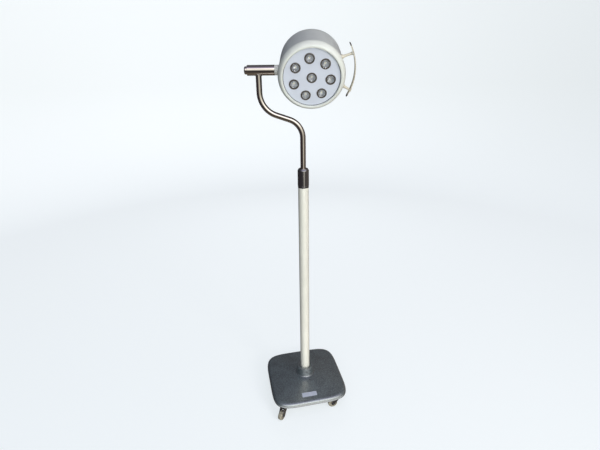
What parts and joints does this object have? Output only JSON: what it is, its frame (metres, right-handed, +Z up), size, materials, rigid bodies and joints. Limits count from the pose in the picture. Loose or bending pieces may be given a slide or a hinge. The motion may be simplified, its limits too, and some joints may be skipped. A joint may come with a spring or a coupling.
{
  "type": "surgical light",
  "caption": "Mobile surgical light: tilting LED drum with a side handle on an S-bent arm that slides and turns in a mast on a castered base.",
  "frame": {"origin": "on the floor, on the axis of the mast", "axes": "+Z up along the mast, -Y towards the label side of the base, +X to the right seen from that side"},
  "size_m": [0.4455, 0.4197, 1.881],
  "materials": {
    "cover_paint": "hammertone enamel",
    "socket_paint": "hammertone enamel",
    "plate_zinc": "zinc plated",
    "cast_iron": "as cast",
    "bolt_steel": "zinc plated",
    "black_screw": "black oxide",
    "skirt_paint": "hammertone enamel",
    "label_foil": "satin",
    "black_plastic": "fine grain",
    "rocker_plastic": "gloss",
    "pin_brass": "bright",
    "supply_case": "satin",
    "stem_steel": "bright zinc",
    "mast_paint": "satin powder coat",
    "bush_plastic": "satin",
    "clamp_brass": "turned",
    "collar_paint": "gloss",
    "piston_nylon": "natural",
    "arm_steel": "polished stainless",
    "bush_bronze": "sintered",
    "shaft_steel": "ground",
    "spring_steel": "blued",
    "fork_steel": "dark zinc",
    "wheel_core": "satin",
    "wheel_rubber": "matt",
    "drum_paint": "satin",
    "rear_paint": "satin",
    "boss_paint": "satin",
    "saddle_alloy": "machined",
    "bezel_plastic": "satin",
    "panel_paint": "satin",
    "ring_plastic": "gloss",
    "lens_clear": "clear",
    "board_white": "solder mask",
    "chip_phosphor": "gloss",
    "sink_alloy": "extruded",
    "driver_case": "satin",
    "handle_paint": "satin"
  },
  "bodies": {
    "base": {"base_cover": "cover_paint", "base_plate": "plate_zinc", "cover_screws": "bolt_steel", "ballast": "cast_iron", "base_bolts": "bolt_steel", "mast_socket": "socket_paint", "set_screws": "black_screw", "boss_skirt": "skirt_paint", "rating_label": "label_foil", "power_inlet": "black_plastic", "entry_case": "black_plastic", "inlet_pins": "pin_brass", "power_supply": "supply_case", "small_screws": "bolt_steel", "caster_stems": "stem_steel", "stem_nuts": "bolt_steel", "mast_tube": "mast_paint", "mast_bush": "bush_plastic", "clamp_ring": "clamp_brass"},
    "rocker": {"switch_rocker": "rocker_plastic"},
    "collar": {"lock_collar": "collar_paint"},
    "carriage": {"guide_piston": "piston_nylon"},
    "arm": {"arm_tube": "arm_steel", "tube_plug": "saddle_alloy", "piston_bolt": "bolt_steel", "pivot_sleeve": "arm_steel", "pivot_cap": "arm_steel", "pivot_bushes": "bush_bronze"},
    "head": {"pivot_shaft": "shaft_steel", "disc_springs": "spring_steel", "pivot_nuts": "bolt_steel", "head_boss": "boss_paint", "shaft_saddle": "saddle_alloy", "head_housing": "drum_paint", "rear_cover": "rear_paint", "rear_screws": "bolt_steel", "bezel_ring": "bezel_plastic", "front_plate": "panel_paint", "lens_rings": "ring_plastic", "lenses": "lens_clear", "led_boards": "board_white", "led_chips": "chip_phosphor", "heatsink": "sink_alloy", "sink_screws": "bolt_steel", "led_driver": "driver_case", "handle_grip": "handle_paint", "handle_struts": "handle_paint", "handle_screws": "bolt_steel"},
    "fork_fl": {"caster_fork_fl": "fork_steel"},
    "wheel_fl": {"wheel_core_fl": "wheel_core", "wheel_tread_fl": "wheel_rubber"},
    "fork_fr": {"caster_fork_fr": "fork_steel"},
    "wheel_fr": {"wheel_core_fr": "wheel_core", "wheel_tread_fr": "wheel_rubber"},
    "fork_bl": {"caster_fork_bl": "fork_steel"},
    "wheel_bl": {"wheel_core_bl": "wheel_core", "wheel_tread_bl": "wheel_rubber"},
    "fork_br": {"caster_fork_br": "fork_steel"},
    "wheel_br": {"wheel_core_br": "wheel_core", "wheel_tread_br": "wheel_rubber"}
  },
  "joints": [
    {"name": "mast_lift", "type": "slide", "parent": "base", "child": "carriage", "axis": [0, 0, 1], "range_m": [-0.12, 0.3]},
    {"name": "arm_swivel", "type": "hinge", "parent": "carriage", "child": "arm", "pos_m": [0, 0, 0.8], "axis": [0, 0, 1], "range_deg": [-170, 170]},
    {"name": "head_tilt", "type": "hinge", "parent": "arm", "child": "head", "pos_m": [0, 0, 1.725], "axis": [0.9774, -0.2113, 0], "range_deg": [-90, 90]},
    {"name": "collar_turn", "type": "hinge", "parent": "base", "child": "collar", "pos_m": [0, 0, 1.25], "axis": [0, 0, 1], "range_deg": [0, 150]},
    {"name": "power_rocker", "type": "hinge", "parent": "base", "child": "rocker", "pos_m": [0.004, 0.184, 0.057], "axis": [0, 0, 1], "range_deg": [0, 16]},
    {"name": "swivel_fl", "type": "hinge", "parent": "base", "child": "fork_fl", "pos_m": [-0.148, -0.168, 0.065], "axis": [0, 0, 1], "continuous": true},
    {"name": "roll_fl", "type": "hinge", "parent": "fork_fl", "child": "wheel_fl", "pos_m": [-0.17023, -0.19102, 0.025], "axis": [0.7193, -0.6947, 0], "continuous": true},
    {"name": "swivel_fr", "type": "hinge", "parent": "base", "child": "fork_fr", "pos_m": [0.148, -0.168, 0.065], "axis": [0, 0, 1], "continuous": true},
    {"name": "roll_fr", "type": "hinge", "parent": "fork_fr", "child": "wheel_fr", "pos_m": [0.116, -0.16744, 0.025], "axis": [-0.0175, -0.9998, 0], "continuous": true},
    {"name": "swivel_bl", "type": "hinge", "parent": "base", "child": "fork_bl", "pos_m": [-0.148, 0.168, 0.065], "axis": [0, 0, 1], "continuous": true},
    {"name": "roll_bl", "type": "hinge", "parent": "fork_bl", "child": "wheel_bl", "pos_m": [-0.17421, 0.14965, 0.025], "axis": [0.5736, -0.8192, 0], "continuous": true},
    {"name": "swivel_br", "type": "hinge", "parent": "base", "child": "fork_br", "pos_m": [0.148, 0.168, 0.065], "axis": [0, 0, 1], "continuous": true},
    {"name": "roll_br", "type": "hinge", "parent": "fork_br", "child": "wheel_br", "pos_m": [0.11793, 0.15706, 0.025], "axis": [0.342, -0.9397, 0], "continuous": true}
  ]
}
